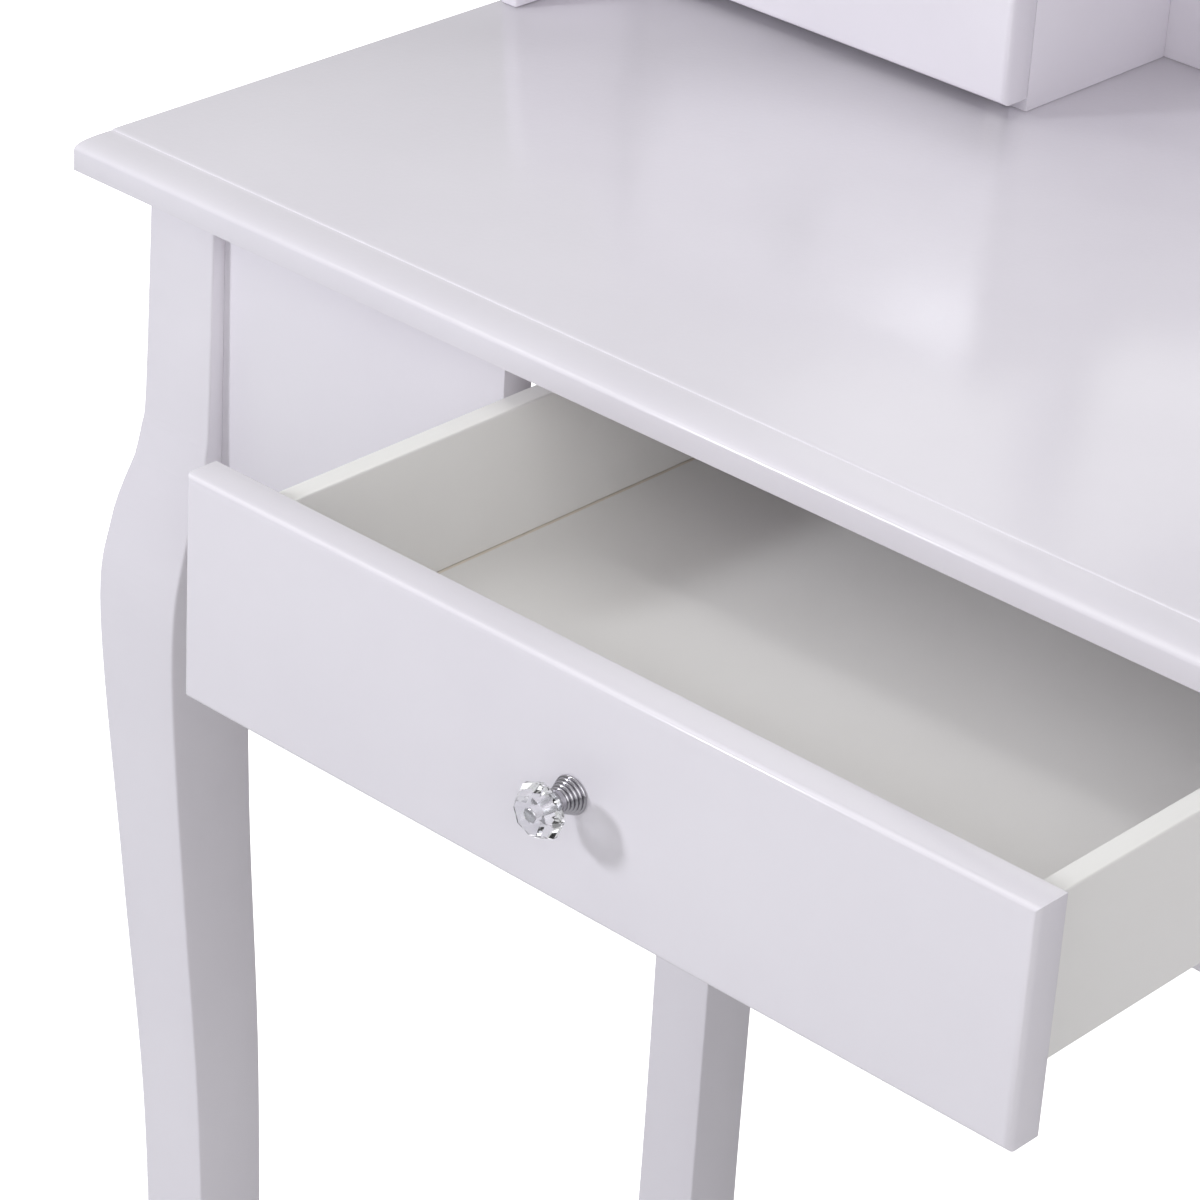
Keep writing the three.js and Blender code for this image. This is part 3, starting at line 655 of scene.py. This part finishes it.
frame_low, frame_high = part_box("mirror_frame")
oval_centre = (frame_low + frame_high) / 2
oval_x = (frame_high.x - frame_low.x) / 2
oval_z = (frame_high.z - frame_low.z) / 2
rim = 28 * MM
deep = frame_high.y - frame_low.y
rebate = rim / 4


def oval_walk(profile, segments=128):
    """An oval swept through a profile of (distance in from the edge, depth from the front)."""
    bm = bmesh.new()
    made = bmesh.ops.create_circle(bm, cap_ends=False, segments=segments, radius=1.0)["verts"]
    stand = Matrix.Rotation(math.pi / 2, 4, "X")
    bmesh.ops.transform(bm, verts=made, matrix=stand)
    ring = bm.edges[:]
    size_x = size_z = 1.0
    depth = 0.0
    for count, (inset, back) in enumerate(profile):
        if count > 0:
            grown = bmesh.ops.extrude_edge_only(bm, edges=ring)["geom"]
            made = [v for v in grown if isinstance(v, bmesh.types.BMVert)]
            ring = [e for e in grown if isinstance(e, bmesh.types.BMEdge)]
        want_x, want_z = oval_x - inset, oval_z - inset
        bmesh.ops.scale(bm, verts=made, vec=(want_x / size_x, 1, want_z / size_z))
        bmesh.ops.translate(bm, verts=made, vec=(0, back - depth, 0))
        size_x, size_z, depth = want_x, want_z, back
    bmesh.ops.translate(bm, verts=bm.verts, vec=(oval_centre.x, frame_low.y, oval_centre.z))
    return bm


# the moulding, from the back of the rim round the outside, a bead, a hollow and the rebate
moulding = [(0, 0.98 * deep), (0, 0.45 * deep)]
moulding += [(rim * 0.16 * (1 - math.cos(a)), deep * (0.45 - 0.39 * math.sin(a)))
             for a in np.linspace(0.15, math.pi / 2, 7)]
moulding += [(rim * 0.24, 0.07 * deep), (rim * 0.26, 0.12 * deep)]
moulding += [(rim * (0.28 + 0.34 * t), deep * (0.12 - 0.12 * math.sin(math.pi * t) ** 0.8))
             for t in np.linspace(0, 1, 9)]
moulding += [(rim * 0.64, 0.16 * deep), (rim * 0.66, 0.20 * deep)]
moulding += [(rim * (0.66 + 0.32 * math.sin(a)), deep * (0.20 + 0.26 * (1 - math.cos(a))))
             for a in np.linspace(0.2, math.pi / 2, 6)]
moulding += [(rim, 0.47 * deep), (rim, 0.50 * deep), (rim - rebate, 0.50 * deep), (rim - rebate, 0.98 * deep)]
moulding += [(rim - rebate, deep), (0.4 * MM, deep), (0, 0.98 * deep)]
put_up(oval_walk(moulding), "moulded_oval_frame", "mirror", ["mirror_frame"], lacquer,
       crease=32)


def silvered(name):
    """Silvered glass: bright, very slightly green, with the faintest polish marks."""
    glass = bpy.data.materials.new(name)
    glass.use_nodes = True
    nodes, links = glass.node_tree.nodes, glass.node_tree.links
    shader = nodes["Principled BSDF"]
    shader.inputs["Metallic"].default_value = 1.0
    place = nodes.new("ShaderNodeTexCoord")
    haze = nodes.new("ShaderNodeTexNoise")
    haze.inputs["Scale"].default_value = 12.0
    dull = nodes.new("ShaderNodeMapRange")
    dull.inputs["To Min"].default_value = 0.004
    dull.inputs["To Max"].default_value = 0.02
    tone = nodes.new("ShaderNodeValToRGB")
    tone.color_ramp.elements[0].color = (0.86, 0.89, 0.885, 1)
    tone.color_ramp.elements[1].color = (0.88, 0.905, 0.90, 1)
    links.new(place.outputs["Object"], haze.inputs["Vector"])
    links.new(haze.outputs["Fac"], dull.inputs["Value"])
    links.new(dull.outputs["Result"], shader.inputs["Roughness"])
    links.new(haze.outputs["Fac"], tone.inputs["Fac"])
    links.new(tone.outputs["Color"], shader.inputs["Base Color"])
    return glass


glass_low, glass_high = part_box("mirror_glass")
glass_inset = oval_x - (glass_high.x - glass_low.x) / 2
glass_front = glass_low.y - frame_low.y
glass_back = glass_high.y - frame_low.y
glass_bevel = 17 * MM
bevel_drop = 1.6 * MM
flat_start = 60 * MM
pane = oval_walk([(glass_inset, glass_back), (glass_inset, glass_front + bevel_drop),
                  (glass_inset + glass_bevel, glass_front), (glass_inset + flat_start, glass_front)])
bmesh.ops.holes_fill(pane, edges=pane.edges[:], sides=0)
put_up(pane, "bevelled_mirror_glass", "mirror", ["mirror_glass"],
       silvered("silvered_glass"), crease=2)

backing_low, backing_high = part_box("mirror_backing")
backing_front = backing_low.y - frame_low.y
backing_back = backing_high.y - frame_low.y
backing_easing = 0.6 * MM
backing = oval_walk([(glass_inset + backing_easing, backing_front),
                     (glass_inset, backing_front + backing_easing),
                     (glass_inset, backing_back - backing_easing),
                     (glass_inset + backing_easing, backing_back),
                     (glass_inset + flat_start, backing_back)])
bmesh.ops.holes_fill(backing, edges=backing.edges[:], sides=0)
put_up(backing, "backing_board", "mirror", ["mirror_backing"], fibre_board)

# ---- floor and light ----
# A plain pale floor that runs out of sight. A small key light stands low on the left in
# front; a wide strip and a broad box hang over the table, and three broad boxes fill in.

floor_paint = bpy.data.materials.new("pale_floor")
floor_paint.use_nodes = True
floor_nodes, floor_links = floor_paint.node_tree.nodes, floor_paint.node_tree.links
floor_shader = floor_nodes["Principled BSDF"]
floor_shader.inputs["Roughness"].default_value = 0.9
floor_shader.inputs["Emission Color"].default_value = (1, 1, 1, 1)
floor_place = floor_nodes.new("ShaderNodeTexCoord")
floor_cloud = floor_nodes.new("ShaderNodeTexNoise")
floor_cloud.inputs["Scale"].default_value = 1.5
floor_tone = floor_nodes.new("ShaderNodeValToRGB")
floor_tone.color_ramp.elements[0].color = (0.66, 0.66, 0.665, 1)
floor_tone.color_ramp.elements[1].color = (0.70, 0.70, 0.705, 1)
# seen directly, the floor is burnt out to white; to everything else it is only pale paint
burnt_out = floor_nodes.new("ShaderNodeLightPath")
floor_links.new(floor_place.outputs["Object"], floor_cloud.inputs["Vector"])
floor_links.new(floor_cloud.outputs["Fac"], floor_tone.inputs["Fac"])
floor_links.new(floor_tone.outputs["Color"], floor_shader.inputs["Base Color"])
floor_links.new(burnt_out.outputs["Is Camera Ray"], floor_shader.inputs["Emission Strength"])
floor_half = 30.0
floor_sheet = bmesh.new()
bmesh.ops.create_grid(floor_sheet, x_segments=1, y_segments=1, size=floor_half)
floor_mesh = bpy.data.meshes.new("floor")
floor_sheet.to_mesh(floor_mesh)
floor_sheet.free()
floor_mesh.materials.append(floor_paint)
floor = bpy.data.objects.new("floor", floor_mesh)
bpy.context.scene.collection.objects.link(floor)


def soft_light(name, towards, distance, size, power, colour=(1, 1, 1)):
    """A soft box, size (wide, tall), level across and facing the table top from the given direction."""
    lamp = bpy.data.objects.new(name, bpy.data.lights.new(name, "AREA"))
    lamp.data.shape = "RECTANGLE"
    lamp.data.size, lamp.data.size_y = size
    lamp.data.energy = power
    lamp.data.color = colour
    heading = Vector(towards).normalized()
    across = (Vector((1, 0, 0)) - heading * heading.x).normalized()
    turn = Matrix((across, heading.cross(across), heading)).transposed().to_4x4()
    aim = Vector((0, top_low.y, upper))
    lamp.matrix_world = Matrix.Translation(aim + heading * distance) @ turn
    bpy.context.scene.collection.objects.link(lamp)


soft_light("key_light", (-0.58, -0.71, 0.40), 3.0, (0.36, 0.36), 36, (0.97, 0.99, 1.03))
soft_light("high_light", (-0.58, -0.22, 0.78), 3.0, (2.4, 0.4), 12)
soft_light("top_light", (-0.15, 0.10, 0.98), 3.0, (2.4, 1.6), 16)
soft_light("front_fill", (0.32, -0.80, 0.50), 3.0, (2.0, 2.0), 13)
soft_light("side_fill", (0.78, -0.44, 0.45), 3.0, (2.2, 2.2), 30)
soft_light("rear_fill", (-0.30, 0.85, 0.43), 3.2, (2.2, 2.2), 12)

# the studio walls look brighter in the lacquer, the mirror and the crystal than they light the room
walls_in_reflections = 0.58
walls_as_light = 0.25
air = bpy.data.worlds.new("studio_air")
air.use_nodes = True
air_nodes, air_links = air.node_tree.nodes, air.node_tree.links
air_nodes["Background"].inputs["Color"].default_value = (1.0, 1.0, 1.0, 1)
ray = air_nodes.new("ShaderNodeLightPath")
walls = air_nodes.new("ShaderNodeMapRange")
walls.inputs["To Min"].default_value = walls_in_reflections
walls.inputs["To Max"].default_value = walls_as_light
air_links.new(ray.outputs["Is Diffuse Ray"], walls.inputs["Value"])
air_links.new(walls.outputs["Result"], air_nodes["Background"].inputs["Strength"])
bpy.context.scene.world = air
bpy.context.scene.view_settings.view_transform = "Standard"
bpy.context.scene.view_settings.look = "None"
